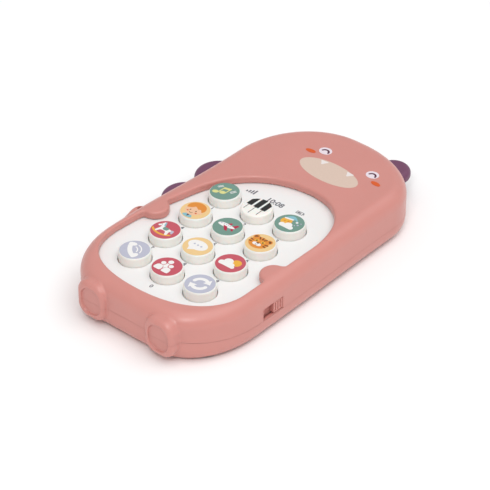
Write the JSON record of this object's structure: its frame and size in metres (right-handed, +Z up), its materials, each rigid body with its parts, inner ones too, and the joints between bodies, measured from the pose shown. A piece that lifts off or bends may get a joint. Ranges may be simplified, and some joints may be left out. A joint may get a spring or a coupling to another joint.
{
  "type": "toy telephone",
  "caption": "Toy telephone in the shape of a lying dinosaur, with raised round push keys in a white panel, a slide switch, purple spikes and horns, two feet, a tail and a battery cover.",
  "frame": {"origin": "middle of the body on the flat underside it lies on", "axes": "+X across, towards the side with the slide switch; +Y along the body from the feet to the head; +Z up, out of the face with the keys"},
  "size_m": [0.0972, 0.1742, 0.0247],
  "materials": {
    "shell": "satin moulded plastic",
    "panel": "satin moulded plastic",
    "key": "satin moulded plastic with printed tops",
    "spike": "matt moulded plastic",
    "silicone": "moulded silicone",
    "board": "solder-masked board",
    "epoxy": "poured resin",
    "steel": "plated",
    "spring_steel": "plated spring steel",
    "cell": null,
    "cone_paper": "matt",
    "magnet": "plain",
    "wire_red": "smooth insulation",
    "wire_black": "smooth insulation"
  },
  "bodies": {
    "phone": {"upper_shell": "shell", "lower_shell": "shell", "key_panel": "panel", "back_spike_1": "spike", "back_spike_2": "spike", "horn_left": "spike", "horn_right": "spike", "key_membrane": "silicone", "circuit_board": "board", "chip_blob": "epoxy", "switch_body": "steel", "speaker_frame": "steel", "shell_screw_head_left": "steel", "shell_screw_head_right": "steel", "shell_screw_foot_left": "steel", "shell_screw_foot_right": "steel", "board_screw_1": "steel", "board_screw_2": "steel", "board_screw_3": "steel", "board_screw_4": "steel", "contact_spring_1": "spring_steel", "contact_spring_2": "spring_steel", "contact_spring_3": "spring_steel", "contact_plate_left_outer": "spring_steel", "contact_plate_left_bridge": "spring_steel", "contact_plate_right_bridge": "spring_steel", "contact_plate_right_outer": "spring_steel", "battery_1": "cell", "battery_2": "cell", "battery_3": "cell", "speaker_cone": "cone_paper", "speaker_magnet": "magnet", "battery_wire_red": "wire_red", "speaker_wire_red": "wire_red", "battery_wire_black": "wire_black", "speaker_wire_black": "wire_black"},
    "push_key_music": {"key_music": "key"},
    "push_key_piano": {"key_piano": "key"},
    "push_key_moon": {"key_moon": "key"},
    "push_key_child": {"key_child": "key"},
    "push_key_plane": {"key_plane": "key"},
    "push_key_cub": {"key_cub": "key"},
    "push_key_horse": {"key_horse": "key"},
    "push_key_chat": {"key_chat": "key"},
    "push_key_weather": {"key_weather": "key"},
    "push_key_call": {"key_call": "key"},
    "push_key_friends": {"key_friends": "key"},
    "push_key_swap": {"key_swap": "key"},
    "switch": {"switch_knob": "shell"},
    "cover": {"battery_door": "shell", "battery_door_screw": "steel"}
  },
  "joints": [
    {"name": "press_music", "type": "slide", "parent": "phone", "child": "push_key_music", "axis": [0, 0, -1], "range_m": [0, 0.0015], "stiffness_N_per_m": 400, "springref_m": -0.0005, "deforming": ["key_membrane"]},
    {"name": "press_piano", "type": "slide", "parent": "phone", "child": "push_key_piano", "axis": [0, 0, -1], "range_m": [0, 0.0015], "stiffness_N_per_m": 400, "springref_m": -0.0005, "deforming": ["key_membrane"]},
    {"name": "press_moon", "type": "slide", "parent": "phone", "child": "push_key_moon", "axis": [0, 0, -1], "range_m": [0, 0.0015], "stiffness_N_per_m": 400, "springref_m": -0.0005, "deforming": ["key_membrane"]},
    {"name": "press_child", "type": "slide", "parent": "phone", "child": "push_key_child", "axis": [0, 0, -1], "range_m": [0, 0.0015], "stiffness_N_per_m": 400, "springref_m": -0.0005, "deforming": ["key_membrane"]},
    {"name": "press_plane", "type": "slide", "parent": "phone", "child": "push_key_plane", "axis": [0, 0, -1], "range_m": [0, 0.0015], "stiffness_N_per_m": 400, "springref_m": -0.0005, "deforming": ["key_membrane"]},
    {"name": "press_cub", "type": "slide", "parent": "phone", "child": "push_key_cub", "axis": [0, 0, -1], "range_m": [0, 0.0015], "stiffness_N_per_m": 400, "springref_m": -0.0005, "deforming": ["key_membrane"]},
    {"name": "press_horse", "type": "slide", "parent": "phone", "child": "push_key_horse", "axis": [0, 0, -1], "range_m": [0, 0.0015], "stiffness_N_per_m": 400, "springref_m": -0.0005, "deforming": ["key_membrane"]},
    {"name": "press_chat", "type": "slide", "parent": "phone", "child": "push_key_chat", "axis": [0, 0, -1], "range_m": [0, 0.0015], "stiffness_N_per_m": 400, "springref_m": -0.0005, "deforming": ["key_membrane"]},
    {"name": "press_weather", "type": "slide", "parent": "phone", "child": "push_key_weather", "axis": [0, 0, -1], "range_m": [0, 0.0015], "stiffness_N_per_m": 400, "springref_m": -0.0005, "deforming": ["key_membrane"]},
    {"name": "press_call", "type": "slide", "parent": "phone", "child": "push_key_call", "axis": [0, 0, -1], "range_m": [0, 0.0015], "stiffness_N_per_m": 400, "springref_m": -0.0005, "deforming": ["key_membrane"]},
    {"name": "press_friends", "type": "slide", "parent": "phone", "child": "push_key_friends", "axis": [0, 0, -1], "range_m": [0, 0.0015], "stiffness_N_per_m": 400, "springref_m": -0.0005, "deforming": ["key_membrane"]},
    {"name": "press_swap", "type": "slide", "parent": "phone", "child": "push_key_swap", "axis": [0, 0, -1], "range_m": [0, 0.0015], "stiffness_N_per_m": 400, "springref_m": -0.0005, "deforming": ["key_membrane"]},
    {"name": "switch_slide", "type": "slide", "parent": "phone", "child": "switch", "axis": [0, -1, 0], "range_m": [0, 0.006]},
    {"name": "cover_hinge", "type": "hinge", "parent": "phone", "child": "cover", "pos_m": [0, 0.0632, 0.0003], "axis": [1, 0, 0], "range_deg": [0, 60]}
  ]
}
